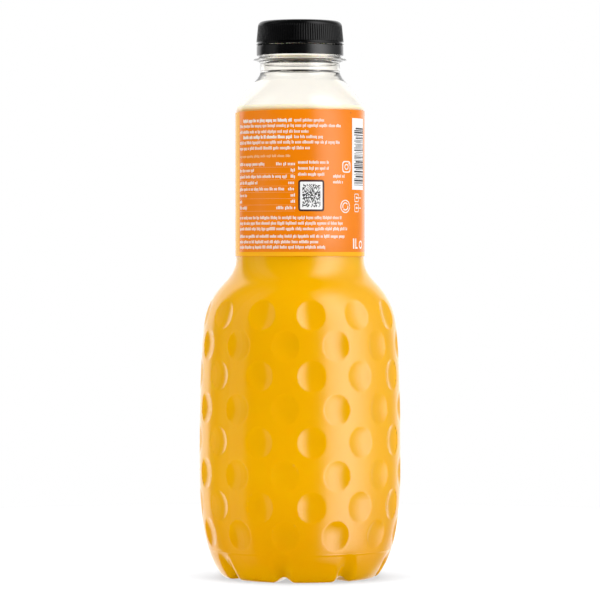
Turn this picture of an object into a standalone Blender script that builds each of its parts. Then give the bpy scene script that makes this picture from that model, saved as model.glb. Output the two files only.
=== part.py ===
# A one litre clear plastic bottle of orange juice, full and shut, standing on eight feet.
# +Z is up, and the origin is the middle of the base, at the height of what it stands on.
# Angles round the bottle are measured from its front, -Y, towards +X.

import math

import bmesh
import bpy
from mathutils import Vector
from mathutils.geometry import interpolate_bezier

MM = 0.001

# Corners of the bottle's outer shape, as (radius, height) places
DOME_MIDDLE = Vector((0.0, 8.5)) * MM
FOOT_INSIDE = Vector((26.0, 0.0)) * MM
FOOT_OUTSIDE = Vector((33.8, 0.0)) * MM
FOOT_EDGE = Vector((37.4, 2.9)) * MM
BODY_WIDEST = Vector((46.25, 52.0)) * MM
BODY_TOP = Vector((43.8, 118.0)) * MM
BODY_SHOULDER = Vector((34.9, 135.0)) * MM
WAIST_BOTTOM = Vector((29.4, 146.5)) * MM
WAIST_TOP = Vector((29.4, 214.5)) * MM
NECK_ROOT = Vector((20.0, 228.5)) * MM
NECK_BOTTOM = Vector((18.3, 232.5)) * MM

# The curve from each corner to the next: a corner, the handle that leaves it, the handle that
# comes in to the next corner, and that corner. Handles are in millimetres from their corners.
OUTLINE_CURVES = (
    (DOME_MIDDLE, (13.0, 0.0), (-8.0, 0.0), FOOT_INSIDE),
    (FOOT_INSIDE, (3.0, 0.0), (-3.0, 0.0), FOOT_OUTSIDE),
    (FOOT_OUTSIDE, (1.8, 0.0), (-0.9, -1.5), FOOT_EDGE),
    (FOOT_EDGE, (7.0, 10.5), (0.0, -22.0), BODY_WIDEST),
    (BODY_WIDEST, (0.0, 38.0), (1.5, -9.9), BODY_TOP),
    (BODY_TOP, (-0.75, 4.95), (5.6, -5.68), BODY_SHOULDER),
    (BODY_SHOULDER, (-4.9, 4.97), (0.0, -3.0), WAIST_BOTTOM),
    (WAIST_BOTTOM, (0.0, 20.0), (0.0, -20.0), WAIST_TOP),
    (WAIST_TOP, (0.0, 4.0), (3.96, -4.5), NECK_ROOT),
    (NECK_ROOT, (-1.32, 1.5), (0.0, -1.0), NECK_BOTTOM),
)

# The neck above the outline, and the wall
LIP_HEIGHT = 253.1 * MM
BORE_RADIUS = 16.6 * MM
BORE_BOTTOM = 234.0 * MM
WALL = 0.9 * MM

# The juice fills the bottle up to just above the label, clear of the wall
JUICE_GAP = 0.4 * MM
JUICE_LEVEL = 215.3 * MM

# Shallow round dishes pressed into the body's side, in staggered rows from top to bottom
DIMPLE_COLUMNS = 12
DIMPLE_ROW_HEIGHTS = (121.0, 107.1, 93.5, 78.5, 63.8, 48.8, 34.6, 21.6)
DIMPLE_FIRST_ANGLE = math.radians(6.5)
DIMPLE_HALF_WIDTH = 6.45 * MM
DIMPLE_HALF_HEIGHT = 7.1 * MM
DIMPLE_DEPTH = 1.6 * MM
DIMPLE_FLOOR_SHARE = 0.55
LATTICE_TOP = 129.8 * MM
LATTICE_BOTTOM = 13.6 * MM

# Feet, parted by grooves that run from the side to the underside
FEET = 8
GROOVE_ANGLE = math.radians(-12.3)
GROOVE_HALF_WIDTH = math.radians(7.0)
GROOVE_DEPTH = 2.6 * MM
GROOVE_START_RADIUS = 13.0 * MM
GROOVE_SIDE_RISE = 1.4
FOOT_RING_HEIGHT = 8.0 * MM

# Support ring below the cap, as (radius, height) places up its outside
RING_PLACES = ((18.3, 236.7), (21.4, 237.0), (21.5, 237.7), (18.3, 238.8))

# Label sleeve
LABEL_RADIUS = 30.0 * MM
LABEL_THICKNESS = 0.3 * MM
LABEL_BOTTOM = 147.3 * MM
LABEL_TOP = 213.7 * MM

# Screw cap, moulded in one with its tamper band
CAP_TOP = 255.1 * MM
CAP_RADIUS = 20.0 * MM
CAP_TOP_RADIUS = 19.35 * MM
CAP_EDGE_ROUND = 2.3 * MM
CAP_INNER_RADIUS = 18.6 * MM
CAP_ROOF = 253.4 * MM
BAND_BOTTOM = 239.4 * MM
SLIT_BOTTOM = 244.8 * MM
SLIT_TOP = 245.5 * MM
BRIDGES = 12
BRIDGE_ANGLE = math.radians(3.0)
SIDES_PER_BRIDGE = 4

# How finely shapes are divided
CURVE_STEPS = 40
NORMAL_REACH = 0.5 * MM
LEAST_STEP = 0.5 * MM
SAME_ANGLE = 1e-6
SIDES_OUTSIDE = 32
SIDES_INSIDE = 24
RIM_SIDES_OUTSIDE = 12
RIM_SIDES_INSIDE = 8
CAP_EDGE_STEPS = 2
SHARP_EDGE = math.radians(28)

# Heights of the rings above the dimples: close together on the curves, none along the waist
SHOULDER_RINGS = (132.4, 135.0, 137.8, 140.6, 143.5, 146.5)
NECK_RINGS = (214.4, 216.5, 219.0, 222.2, 225.6, 228.6)

# Colour, roughness and metallic value
CLEAR_PLASTIC = ((0.90, 0.92, 0.88, 1.0), 0.05, 0.0)
ORANGE_JUICE = ((0.84, 0.40, 0.01, 1.0), 0.30, 0.0)
ORANGE_FILM = ((0.86, 0.26, 0.02, 1.0), 0.35, 0.0)
BLACK_PLASTIC = ((0.012, 0.012, 0.013, 1.0), 0.35, 0.0)


def outer_shape():
    """Points (radius, height) along the bottle's outside, from the middle of the base to the neck."""
    points = [DOME_MIDDLE]
    for corner, leaving, coming, next_corner in OUTLINE_CURVES:
        handles = (corner + Vector(leaving) * MM, next_corner + Vector(coming) * MM)
        points += interpolate_bezier(corner, *handles, next_corner, CURVE_STEPS)[1:]
    return points


class Outline:
    """A shape turned about Z. A place on it is given by its length along it from the base's middle."""

    def __init__(self, points):
        self.points = points
        self.lengths = [0.0]
        for a, b in zip(points, points[1:]):
            self.lengths.append(self.lengths[-1] + (b - a).length)

    def point(self, length):
        """The point (radius, height) of the shape at this length, which is kept within its ends."""
        length = min(max(length, 0.0), self.lengths[-1])
        i = next(n for n, s in enumerate(self.lengths[1:], start=1) if s >= length)
        a, b = self.points[i - 1], self.points[i]
        return a.lerp(b, (length - self.lengths[i - 1]) / (self.lengths[i] - self.lengths[i - 1]))

    def normal(self, length):
        """The direction out of the surface at this length, evened out over a short stretch."""
        along = (self.point(length + NORMAL_REACH) - self.point(length - NORMAL_REACH)).normalized()
        return Vector((along.y, -along.x))

    def place(self, length, inset=0.0):
        """The point at this length, moved in from the surface by inset."""
        return self.point(length) - self.normal(length) * inset

    def length_at(self, axis, value, start=0.0):
        """The first length past start at which the radius (axis 0) or the height (axis 1) is value."""
        for a, b, s, t in zip(self.points, self.points[1:], self.lengths, self.lengths[1:]):
            low, high = sorted((a[axis], b[axis]))
            if s >= start and low <= value <= high and low < high:
                return s + (t - s) * (value - a[axis]) / (b[axis] - a[axis])
        raise ValueError("the outline never has that value")


OUTLINE = Outline(outer_shape())
FOOT_LENGTH = OUTLINE.length_at(0, FOOT_OUTSIDE.x)


def length_at_height(height):
    """The length along the outline at which its side is this high."""
    return OUTLINE.length_at(1, height, FOOT_LENGTH)


def turned(angle, place):
    """The point of a place (radius, height) at this angle from the front."""
    return Vector((place[0] * math.sin(angle), -place[0] * math.cos(angle), place[1]))


def new_ring(bm, places_by_angle):
    """A loop of vertices, as (angle, vertex) pairs."""
    return [(angle, bm.verts.new(turned(angle, place))) for angle, place in places_by_angle]


def round_ring(bm, place, sides):
    """A round loop of vertices at a place (radius, height)."""
    return new_ring(bm, [(math.tau * n / sides, place) for n in range(sides)])


def join_loops(bm, first, second):
    """Triangles between two loops of (angle, vertex) pairs that run the same way round."""
    start = first[0][0] - SAME_ANGLE
    second = [(start + (angle - start) % math.tau, vertex) for angle, vertex in second]
    second.sort(key=lambda pair: pair[0])
    first = first + [(first[0][0] + math.tau, first[0][1])]
    second = second + [(second[0][0] + math.tau, second[0][1])]
    i = j = 0
    while i + j < len(first) + len(second) - 2:
        middle_first = first[i][0] + first[i + 1][0] if i < len(first) - 1 else math.inf
        middle_second = second[j][0] + second[j + 1][0] if j < len(second) - 1 else math.inf
        if middle_first <= middle_second:
            bm.faces.new((first[i][1], first[i + 1][1], second[j][1]))
            i += 1
        else:
            bm.faces.new((first[i][1], second[j + 1][1], second[j][1]))
            j += 1


def join_places(bm, ring, places, sides):
    """Carries a ring through round rings at each place, and returns the last one."""
    for place in places:
        following = round_ring(bm, place, sides)
        join_loops(bm, ring, following)
        ring = following
    return ring


def close_ring(bm, ring, point):
    """Closes a ring with triangles to a point."""
    tip = bm.verts.new(point)
    for (_, a), (_, b) in zip(ring, ring[1:] + ring[:1]):
        bm.faces.new((a, b, tip))


class Skin:
    """The bottle's shape in a mesh, at an even distance inside its outer surface."""

    def __init__(self, bm, inset, sides, rim_sides):
        self.bm = bm
        self.inset = inset
        self.sides = sides
        self.rim_sides = rim_sides

    def vertex(self, angle, length):
        """A new vertex on the skin."""
        return self.bm.verts.new(turned(angle, OUTLINE.place(length, self.inset)))

    def build_up_to(self, top_length, step_lengths):
        """The skin from the base up to a length, through rings at the step lengths."""
        bottom_ring, top_ring = self.add_lattice()
        self.add_base(bottom_ring)
        places = [OUTLINE.place(s, self.inset) for s in step_lengths if s < top_length - LEAST_STEP]
        places.append(OUTLINE.place(top_length, self.inset))
        return join_places(self.bm, top_ring, places, self.sides)

    def add_lattice(self):
        """The dimpled side, in cells of one dimple each. Returns its bottom and top rings."""
        heights = [LATTICE_TOP] + [h * MM for h in DIMPLE_ROW_HEIGHTS] + [LATTICE_BOTTOM]
        lengths = [length_at_height(h) for h in heights]
        last = len(lengths) - 1
        steps = range(2 * DIMPLE_COLUMNS)
        corners = {}
        for level, length in enumerate(lengths):
            for step in steps:
                if level in (0, last) or (level + step) % 2 == 0:
                    corners[level, step] = self.vertex(step_angle(step), length)
        for level in range(1, last):
            for step in steps:
                if (level + step) % 2:
                    self.add_dimple(step_angle(step), lengths[level], cell_corners(corners, level, step))
        return [[(step_angle(step), corners[level, step]) for step in steps] for level in (last, 0)]

    def add_dimple(self, middle, length, corners):
        """One dimple, with the skin round it out to the corners of its cell."""
        rim = self.dimple_loop(middle, length, 1.0, self.rim_sides)
        floor = self.dimple_loop(middle, length, DIMPLE_FLOOR_SHARE, self.rim_sides // 2)
        join_loops(self.bm, corners, rim)
        join_loops(self.bm, rim, floor)
        close_ring(self.bm, floor, self.dimple_point(middle, length, 0.0, 0.0))

    def dimple_loop(self, middle, length, share, sides):
        """A loop of vertices in a dimple, at a share of the way from its middle to its rim."""
        loop = []
        for n in range(sides):
            round_loop = math.tau * n / sides
            point = self.dimple_point(middle, length, share, round_loop)
            loop.append((round_loop, self.bm.verts.new(point)))
        return loop

    def dimple_point(self, middle, length, share, round_loop):
        """A point of the skin in a dimple, pressed in most at the middle and not at the rim."""
        turn = share * DIMPLE_HALF_WIDTH * math.cos(round_loop) / OUTLINE.point(length).x
        rise = share * DIMPLE_HALF_HEIGHT * math.sin(round_loop)
        press = turned(middle, OUTLINE.normal(length)) * DIMPLE_DEPTH * (1 - share**2)
        return turned(middle + turn, OUTLINE.place(length + rise, self.inset)) - press

    def add_base(self, ring):
        """The feet and the underside, from the ring below the dimples to the base's middle."""
        lengths = [length_at_height(height) for height in (FOOT_RING_HEIGHT, FOOT_EDGE.y)]
        lengths += [FOOT_LENGTH, OUTLINE.length_at(0, FOOT_INSIDE.x)]
        for length in lengths:
            following = self.foot_ring(length)
            join_loops(self.bm, ring, following)
            ring = following
        start_place = OUTLINE.place(OUTLINE.length_at(0, GROOVE_START_RADIUS), self.inset)
        starts = [(GROOVE_ANGLE + math.pi * n / FEET, start_place) for n in range(2 * FEET)]
        dome_ring = new_ring(self.bm, starts)
        join_loops(self.bm, ring, dome_ring)
        close_ring(self.bm, dome_ring, (0.0, 0.0, DOME_MIDDLE.y + self.inset))

    def foot_ring(self, length):
        """A ring round the feet, pressed in at each groove."""
        groove = self.inset + GROOVE_DEPTH * groove_share(length)
        ring = []
        for foot in range(FEET):
            middle = GROOVE_ANGLE + math.tau * foot / FEET
            plain = OUTLINE.place(length, self.inset)
            ring += [
                (middle - GROOVE_HALF_WIDTH, plain),
                (middle, OUTLINE.place(length, groove)),
                (middle + GROOVE_HALF_WIDTH, plain),
                (middle + math.pi / FEET, plain),
            ]
        return new_ring(self.bm, ring)


def step_angle(step):
    """The angle of a step round the lattice. Dimples and corners take turns along each row."""
    return DIMPLE_FIRST_ANGLE + step * math.pi / DIMPLE_COLUMNS


def cell_corners(corners, level, step):
    """The loop of corners round the cell of the dimple at this level and step, from its right."""
    around = ((0, 1), (-1, 1), (-1, 0), (-1, -1), (0, -1), (1, -1), (1, 0), (1, 1))
    loop = []
    for n, (down, along) in enumerate(around):
        key = (level + down, (step + along) % (2 * DIMPLE_COLUMNS))
        if key in corners:
            loop.append((n * math.pi / 4, corners[key]))
    return loop


def groove_share(length):
    """How deep the grooves between the feet are at this length, as a share of their full depth."""
    radius, height = OUTLINE.place(length)
    if length > FOOT_LENGTH:
        return min(1.0, GROOVE_SIDE_RISE * (1 - height / LATTICE_BOTTOM))
    return (radius - GROOVE_START_RADIUS) / (FOOT_OUTSIDE.x - GROOVE_START_RADIUS)


def step_lengths():
    """Lengths along the outline of the rings above the dimples."""
    return [length_at_height(h * MM) for h in SHOULDER_RINGS + NECK_RINGS]


def finish_object(name, bm, material):
    """Turns a mesh's faces outward and puts it in the scene as one object."""
    bmesh.ops.recalc_face_normals(bm, faces=bm.faces)
    mesh = bpy.data.meshes.new(name)
    bm.to_mesh(mesh)
    bm.free()
    mesh.materials.append(material)
    mesh.shade_smooth()
    mesh.set_sharp_from_angle(angle=SHARP_EDGE)
    thing = bpy.data.objects.new(name, mesh)
    bpy.context.scene.collection.objects.link(thing)
    return thing


def new_material(name, finish):
    """A plain material of one colour, roughness and metallic value."""
    colour, roughness, metallic = finish
    material = bpy.data.materials.new(name)
    material.use_nodes = True
    shader = material.node_tree.nodes["Principled BSDF"]
    shader.inputs["Base Color"].default_value = colour
    shader.inputs["Roughness"].default_value = roughness
    shader.inputs["Metallic"].default_value = metallic
    return material


def make_bottle():
    """The hollow bottle with its support ring, open at its lip under the cap."""
    bm = bmesh.new()
    outside = Skin(bm, 0.0, SIDES_OUTSIDE, RIM_SIDES_OUTSIDE)
    ring = outside.build_up_to(OUTLINE.lengths[-1], step_lengths())
    places = [(radius * MM, height * MM) for radius, height in RING_PLACES]
    places.append((NECK_BOTTOM.x, LIP_HEIGHT))
    outer_lip = join_places(bm, ring, places, SIDES_OUTSIDE)
    inside = Skin(bm, WALL, SIDES_INSIDE, RIM_SIDES_INSIDE)
    ring = inside.build_up_to(OUTLINE.lengths[-1], step_lengths())
    places = [(BORE_RADIUS, BORE_BOTTOM), (BORE_RADIUS, LIP_HEIGHT)]
    inner_lip = join_places(bm, ring, places, SIDES_INSIDE)
    join_loops(bm, outer_lip, inner_lip)
    return finish_object("bottle", bm, new_material("clear_plastic", CLEAR_PLASTIC))


def make_juice():
    """The juice, with the bottle's inner shape up to its level."""
    bm = bmesh.new()
    skin = Skin(bm, WALL + JUICE_GAP, SIDES_INSIDE, RIM_SIDES_INSIDE)
    ring = skin.build_up_to(length_at_height(WAIST_TOP.y), step_lengths())
    radius = OUTLINE.place(length_at_height(JUICE_LEVEL), WALL + JUICE_GAP)[0]
    ring = join_places(bm, ring, [(radius, JUICE_LEVEL)], SIDES_INSIDE)
    close_ring(bm, ring, (0.0, 0.0, JUICE_LEVEL))
    return finish_object("juice", bm, new_material("orange_juice", ORANGE_JUICE))


def make_label():
    """The sleeve of printed film round the waist."""
    bm = bmesh.new()
    inner_radius = LABEL_RADIUS - LABEL_THICKNESS
    first = round_ring(bm, (LABEL_RADIUS, LABEL_BOTTOM), SIDES_OUTSIDE)
    places = ((LABEL_RADIUS, LABEL_TOP), (inner_radius, LABEL_TOP), (inner_radius, LABEL_BOTTOM))
    last = join_places(bm, first, places, SIDES_OUTSIDE)
    join_loops(bm, last, first)
    return finish_object("label", bm, new_material("orange_film", ORANGE_FILM))


def cap_angles():
    """Angles of the cap's sides: each bridge has one side, and the slit between two bridges the rest."""
    slit_sides = SIDES_PER_BRIDGE - 1
    slit_side = (math.tau / BRIDGES - BRIDGE_ANGLE) / slit_sides
    angles = []
    for n in range(BRIDGES):
        start = math.tau * n / BRIDGES
        angles.append(start)
        angles += [start + BRIDGE_ANGLE + slit_side * k for k in range(slit_sides)]
    return angles


def cap_ring(bm, place):
    """A ring of the cap's vertices at a place (radius, height)."""
    return new_ring(bm, [(angle, place) for angle in cap_angles()])


def add_bridges(bm, below, above):
    """Joins band and cap across the slit. Each side of it is a pair of rings, outer and inner."""
    count = len(below[0])
    for n in range(count):
        m = (n + 1) % count
        low = [below[0][n][1], below[0][m][1], below[1][m][1], below[1][n][1]]
        high = [above[0][n][1], above[0][m][1], above[1][m][1], above[1][n][1]]
        if n % SIDES_PER_BRIDGE:
            bm.faces.new(low)
            bm.faces.new(high)
        else:
            for k in range(len(low)):
                bm.faces.new((low[k], low[k - 1], high[k - 1], high[k]))


def make_cap():
    """The cap and its tamper band, joined by the bridges that snap when it is first opened."""
    bm = bmesh.new()
    bottom, slit_bottom, slit_top = (
        [cap_ring(bm, (radius, height)) for radius in (CAP_RADIUS, CAP_INNER_RADIUS)]
        for height in (BAND_BOTTOM, SLIT_BOTTOM, SLIT_TOP)
    )
    add_bridges(bm, slit_bottom, slit_top)
    join_loops(bm, bottom[0], slit_bottom[0])
    join_loops(bm, bottom[1], slit_bottom[1])
    join_loops(bm, bottom[0], bottom[1])
    ring = slit_top[0]
    for n in range(CAP_EDGE_STEPS + 1):
        turn = math.pi / 2 * n / CAP_EDGE_STEPS
        radius = CAP_TOP_RADIUS - CAP_EDGE_ROUND * (1 - math.cos(turn))
        following = cap_ring(bm, (radius, CAP_TOP - CAP_EDGE_ROUND * (1 - math.sin(turn))))
        join_loops(bm, ring, following)
        ring = following
    close_ring(bm, ring, (0.0, 0.0, CAP_TOP))
    roof = cap_ring(bm, (CAP_INNER_RADIUS, CAP_ROOF))
    join_loops(bm, slit_top[1], roof)
    close_ring(bm, roof, (0.0, 0.0, CAP_ROOF))
    return finish_object("cap", bm, new_material("black_plastic", BLACK_PLASTIC))


def main():
    for thing in list(bpy.data.objects):
        bpy.data.objects.remove(thing)
    make_bottle()
    make_juice()
    make_label()
    make_cap()


main()
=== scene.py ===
import math
import random

import bmesh
import bpy
import numpy as np
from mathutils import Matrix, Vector


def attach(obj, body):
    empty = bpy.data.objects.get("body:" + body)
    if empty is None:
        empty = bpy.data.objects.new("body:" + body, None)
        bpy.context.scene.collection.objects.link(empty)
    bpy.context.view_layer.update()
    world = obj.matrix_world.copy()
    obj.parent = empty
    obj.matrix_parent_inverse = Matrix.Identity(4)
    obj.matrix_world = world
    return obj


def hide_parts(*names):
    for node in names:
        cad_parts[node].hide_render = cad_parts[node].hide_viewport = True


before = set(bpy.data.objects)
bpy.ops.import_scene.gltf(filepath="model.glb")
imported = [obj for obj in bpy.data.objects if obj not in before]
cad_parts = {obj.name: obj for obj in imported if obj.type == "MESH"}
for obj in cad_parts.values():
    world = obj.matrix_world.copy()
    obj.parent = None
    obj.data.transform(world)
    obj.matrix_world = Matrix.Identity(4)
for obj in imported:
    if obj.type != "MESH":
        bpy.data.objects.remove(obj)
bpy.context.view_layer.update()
print("frame loaded:", ", ".join(sorted(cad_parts)))

# Shapes are worked out in millimetres and angles from the front, -Y, towards +X
mm = 0.001


def turned(angle, radius, height):
    angle, radius, height = np.broadcast_arrays(angle, radius, height)
    return np.stack([radius * np.sin(angle), -radius * np.cos(angle), height], axis=-1)


def anglesRound(count):
    return np.arange(count) * math.tau / count


class MeshParts:
    # collects points and faces, then makes one object of them
    def __init__(self):
        self.points = []
        self.faces = []
        self.count = 0

    def add(self, points):
        points = np.asarray(points, float).reshape(-1, 3)
        self.points.append(points)
        first = self.count
        self.count += len(points)
        return list(range(first, self.count))

    def joinRings(self, below, above):
        for k in range(len(below)):
            m = (k + 1) % len(below)
            self.faces.append((below[k], below[m], above[m], above[k]))

    def joinOn(self, ring, loops):
        # each loop of points joined to the one before, from this ring on
        for points in loops:
            following = self.add(points)
            self.joinRings(ring, following)
            ring = following
        return ring

    def addTube(self, loops):
        # each loop of points joined to the next, and the last one to the first
        rings = [self.add(points) for points in loops]
        for below, above in zip(rings, rings[1:] + rings[:1]):
            self.joinRings(below, above)

    def closeRing(self, ring, point):
        tip = self.add([point])[0]
        for k in range(len(ring)):
            self.faces.append((ring[k], ring[(k + 1) % len(ring)], tip))

    def makeObject(self, name, material, mergeDistance=0.002, sharpAngle=None):
        mesh = bpy.data.meshes.new(name)
        mesh.from_pydata((np.vstack(self.points) * mm).tolist(), [], self.faces)
        bm = bmesh.new()
        bm.from_mesh(mesh)
        bmesh.ops.remove_doubles(bm, verts=bm.verts, dist=mergeDistance * mm)
        bmesh.ops.recalc_face_normals(bm, faces=bm.faces)
        bm.to_mesh(mesh)
        bm.free()
        mesh.materials.append(material)
        mesh.shade_smooth()
        if sharpAngle:
            mesh.set_sharp_from_angle(angle=math.radians(sharpAngle))
        piece = bpy.data.objects.new(name, mesh)
        bpy.context.scene.collection.objects.link(piece)
        return piece


# The surface that every plastic here has, with the values it starts from
surface = {
    "inputs": {
        "Colour": (1.0, 1.0, 1.0, 1.0),
        "Wave Colour": (1.0, 1.0, 1.0, 1.0),
        "Least Roughness": 0.3,
        "Most Roughness": 0.4,
        "Grain Scale": 900.0,
        "Wave Scale": 60.0,
        "Wave Share": 0.5,        # of the slow waves in the height, beside the grain
    },
    "grainDetail": 3.0,
    "waveDetail": 1.5,
}


def setInputs(node, values):
    for name, value in values.items():
        node.inputs[name].default_value = value


def newGroup(name, inputs, outputs):
    group = bpy.data.node_groups.new(name, "ShaderNodeTree")
    for socketName, value in inputs.items():
        kind = "NodeSocketColor" if isinstance(value, tuple) else "NodeSocketFloat"
        socket = group.interface.new_socket(name=socketName, in_out="INPUT", socket_type=kind)
        socket.default_value = value
    for socketName, kind in outputs.items():
        group.interface.new_socket(name=socketName, in_out="OUTPUT", socket_type=kind)
    return group, group.nodes.new("NodeGroupInput"), group.nodes.new("NodeGroupOutput")


def makePlasticSurface():
    # fine moulding grain and slow waves: colour and roughness that drift with the waves, and a height
    outputs = {"Colour": "NodeSocketColor", "Roughness": "NodeSocketFloat", "Height": "NodeSocketFloat"}
    group, start, end = newGroup("plasticSurface", surface["inputs"], outputs)
    nodes, links = group.nodes, group.links
    place = nodes.new("ShaderNodeTexCoord")
    grain, wave = nodes.new("ShaderNodeTexNoise"), nodes.new("ShaderNodeTexNoise")
    height, tone = nodes.new("ShaderNodeMix"), nodes.new("ShaderNodeMix")
    rough = nodes.new("ShaderNodeMapRange")
    setInputs(grain, {"Detail": surface["grainDetail"]})
    setInputs(wave, {"Detail": surface["waveDetail"]})
    tone.data_type = "RGBA"
    for source, target in (
        (place.outputs["Object"], grain.inputs["Vector"]),
        (place.outputs["Object"], wave.inputs["Vector"]),
        (start.outputs["Grain Scale"], grain.inputs["Scale"]),
        (start.outputs["Wave Scale"], wave.inputs["Scale"]),
        (start.outputs["Wave Share"], height.inputs["Factor"]),
        (grain.outputs["Fac"], height.inputs["A"]),
        (wave.outputs["Fac"], height.inputs["B"]),
        (height.outputs["Result"], end.inputs["Height"]),
        (wave.outputs["Fac"], tone.inputs["Factor"]),
        (start.outputs["Colour"], tone.inputs["A"]),
        (start.outputs["Wave Colour"], tone.inputs["B"]),
        (tone.outputs["Result"], end.inputs["Colour"]),
        (wave.outputs["Fac"], rough.inputs["Value"]),
        (start.outputs["Least Roughness"], rough.inputs["To Min"]),
        (start.outputs["Most Roughness"], rough.inputs["To Max"]),
        (rough.outputs["Result"], end.inputs["Roughness"]),
    ):
        links.new(source, target)
    return group


plasticSurface = makePlasticSurface()


def newMaterial(name):
    material = bpy.data.materials.new(name)
    material.use_nodes = True
    return material, material.node_tree.nodes["Principled BSDF"]


def addSurface(material, shader, finish):
    # the shared surface as this finish's bump and gloss
    nodes, links = material.node_tree.nodes, material.node_tree.links
    group, bump = nodes.new("ShaderNodeGroup"), nodes.new("ShaderNodeBump")
    group.node_tree = plasticSurface
    setInputs(group, finish["grain"])
    setInputs(bump, {"Strength": finish["bump"], "Distance": finish["bumpDistance"] * mm})
    setInputs(shader, {"Specular IOR Level": finish["gloss"]})
    links.new(group.outputs["Height"], bump.inputs["Height"])
    links.new(bump.outputs["Normal"], shader.inputs["Normal"])
    return group


def makePlastic(name, finish, colour, waveColour):
    material, shader = newMaterial(name)
    group, links = addSurface(material, shader, finish), material.node_tree.links
    least, most = finish["roughness"]
    setInputs(group, {"Colour": colour, "Wave Colour": waveColour})
    setInputs(group, {"Least Roughness": least, "Most Roughness": most})
    links.new(group.outputs["Colour"], shader.inputs["Base Color"])
    links.new(group.outputs["Roughness"], shader.inputs["Roughness"])
    return material


# The bottle's outline, the same as in the solids: corners as (radius, height) places
shape = {
    "domeMiddle": (0.0, 8.5),
    "footInner": (26.0, 0.0),
    "footOuter": (33.8, 0.0),
    "footEdge": (37.4, 2.9),
    "widest": (46.25, 52.0),
    "bodyTop": (43.8, 118.0),
    "bodyShoulder": (34.9, 135.0),
    "waistBottom": (29.4, 146.5),
    "waistTop": (29.4, 214.5),
    "neckRoot": (20.0, 228.5),
    "neck": (18.3, 232.5),
    # the curve from a corner to the next, with the handles at its two ends, each from its corner
    "curves": (
        ("domeMiddle", (13.0, 0.0), (-8.0, 0.0), "footInner"),
        ("footInner", (3.0, 0.0), (-3.0, 0.0), "footOuter"),
        ("footOuter", (1.8, 0.0), (-0.9, -1.5), "footEdge"),
        ("footEdge", (7.0, 10.5), (0.0, -22.0), "widest"),
        ("widest", (0.0, 38.0), (1.5, -9.9), "bodyTop"),
        ("bodyTop", (-0.75, 4.95), (5.6, -5.68), "bodyShoulder"),
        ("bodyShoulder", (-4.9, 4.97), (0.0, -3.0), "waistBottom"),
        ("waistBottom", (0.0, 20.0), (0.0, -20.0), "waistTop"),
        ("waistTop", (0.0, 4.0), (3.96, -4.5), "neckRoot"),
        ("neckRoot", (-1.32, 1.5), (0.0, -1.0), "neck"),
    ),
    "steps": 60,              # points on each curve
    "evenedOver": 0.5,        # how far to each side its slope is read, so that the curves meet smoothly
    # heights of the rings above the dimples, close together where the side curves: start, end and step,
    # and single heights at the waist
    "foldRings": (130.8, 147.5, 1.0),
    "waistRings": (150.0, 180.0, 212.0, 213.3, 213.9),
    "shoulderRings": (214.5, 230.4, 0.6),
    "neckRings": (230.6, 232.45, 0.15),
}

dimples = {
    "columns": 12,
    "rowHeights": (121.0, 107.1, 93.5, 78.5, 63.8, 48.8, 34.6, 21.6),
    "firstAngle": math.radians(6.5),
    "halfWidth": 6.45,
    "halfHeight": 7.1,
    "depth": 1.6,
    "rimRound": 0.45,         # how far the rounded rim reaches to each side
    "rimRings": 5,
    "outerRing": 0.45,        # the place of the last ring, from the rim to the cell's edge
    "top": 129.8,             # the edges of the dimpled zone
    "bottom": 13.5,
}

# How many points a dimple's cell has along its edges, and the rings in its dish as shares of its size
fineDetail = {"edge": 10, "side": 6, "topEdge": 5, "bottomEdge": 12, "rounded": True,
              "dish": (0.2, 0.4, 0.6, 0.8)}
plainDetail = {"edge": 5, "side": 4, "topEdge": 5, "bottomEdge": 12, "rounded": False,
               "dish": (0.25, 0.5, 0.75)}

feet = {
    "count": 8,
    "grooveAngle": math.radians(-12.3),
    "grooveHalfWidth": math.radians(8.5),
    "grooveDepth": 2.6,
    "grooveGrowth": 1.4,      # how soon the grooves reach that depth down the side
    "grooveStart": 13.0,      # radius on the underside where the grooves begin
    "mouldLine": 0.13,        # height of the thin ridge round the body above the feet
    "mouldLineHalf": 0.2,     # half its width
    # rings of points: heights down the side, shares of the rounded edge, radii on the underside
    "sideRings": (12.2, 11.3, 10.3, 9.2, 8.0, 6.7, 5.4, 4.1, 2.9),
    "edgeRings": (0.75, 0.5, 0.25, 0.0),
    "underRings": (31.0, 28.5, 26.0, 24.0, 21.5, 19.0, 16.0, 13.0, 9.0, 4.5),
}


def bottleOutline():
    points = [np.array([shape["domeMiddle"]])]
    t = np.linspace(0, 1, shape["steps"] + 1)[1:, None]
    for name, leaving, coming, nextName in shape["curves"]:
        a, d = np.array(shape[name]), np.array(shape[nextName])
        b, c = a + leaving, d + coming
        points.append((1 - t) ** 3 * a + 3 * (1 - t) ** 2 * t * b + 3 * (1 - t) * t**2 * c + t**3 * d)
    points = np.vstack(points)
    lengths = np.concatenate([[0], np.cumsum(np.linalg.norm(np.diff(points, axis=0), axis=1))])
    return {"length": lengths, "radius": points[:, 0], "height": points[:, 1]}


outline = bottleOutline()


def outlinePlace(length):
    radius = np.interp(length, outline["length"], outline["radius"])
    height = np.interp(length, outline["length"], outline["height"])
    return radius, height


def outlineNormal(length):
    reach = shape["evenedOver"]
    ahead, behind = outlinePlace(length + reach), outlinePlace(length - reach)
    outward, upward = ahead[0] - behind[0], ahead[1] - behind[1]
    size = np.hypot(outward, upward)
    return upward / size, -outward / size


def lengthAt(height):
    # on the side, above the feet
    start = int(np.argmax(outline["radius"] >= shape["footOuter"][0]))
    return np.interp(height, outline["height"][start:], outline["length"][start:])


def lengthAtRadius(radius):
    # on the underside
    end = int(np.argmax(outline["radius"] >= shape["footOuter"][0])) + 1
    return np.interp(radius, outline["radius"][:end], outline["length"][:end])


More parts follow.
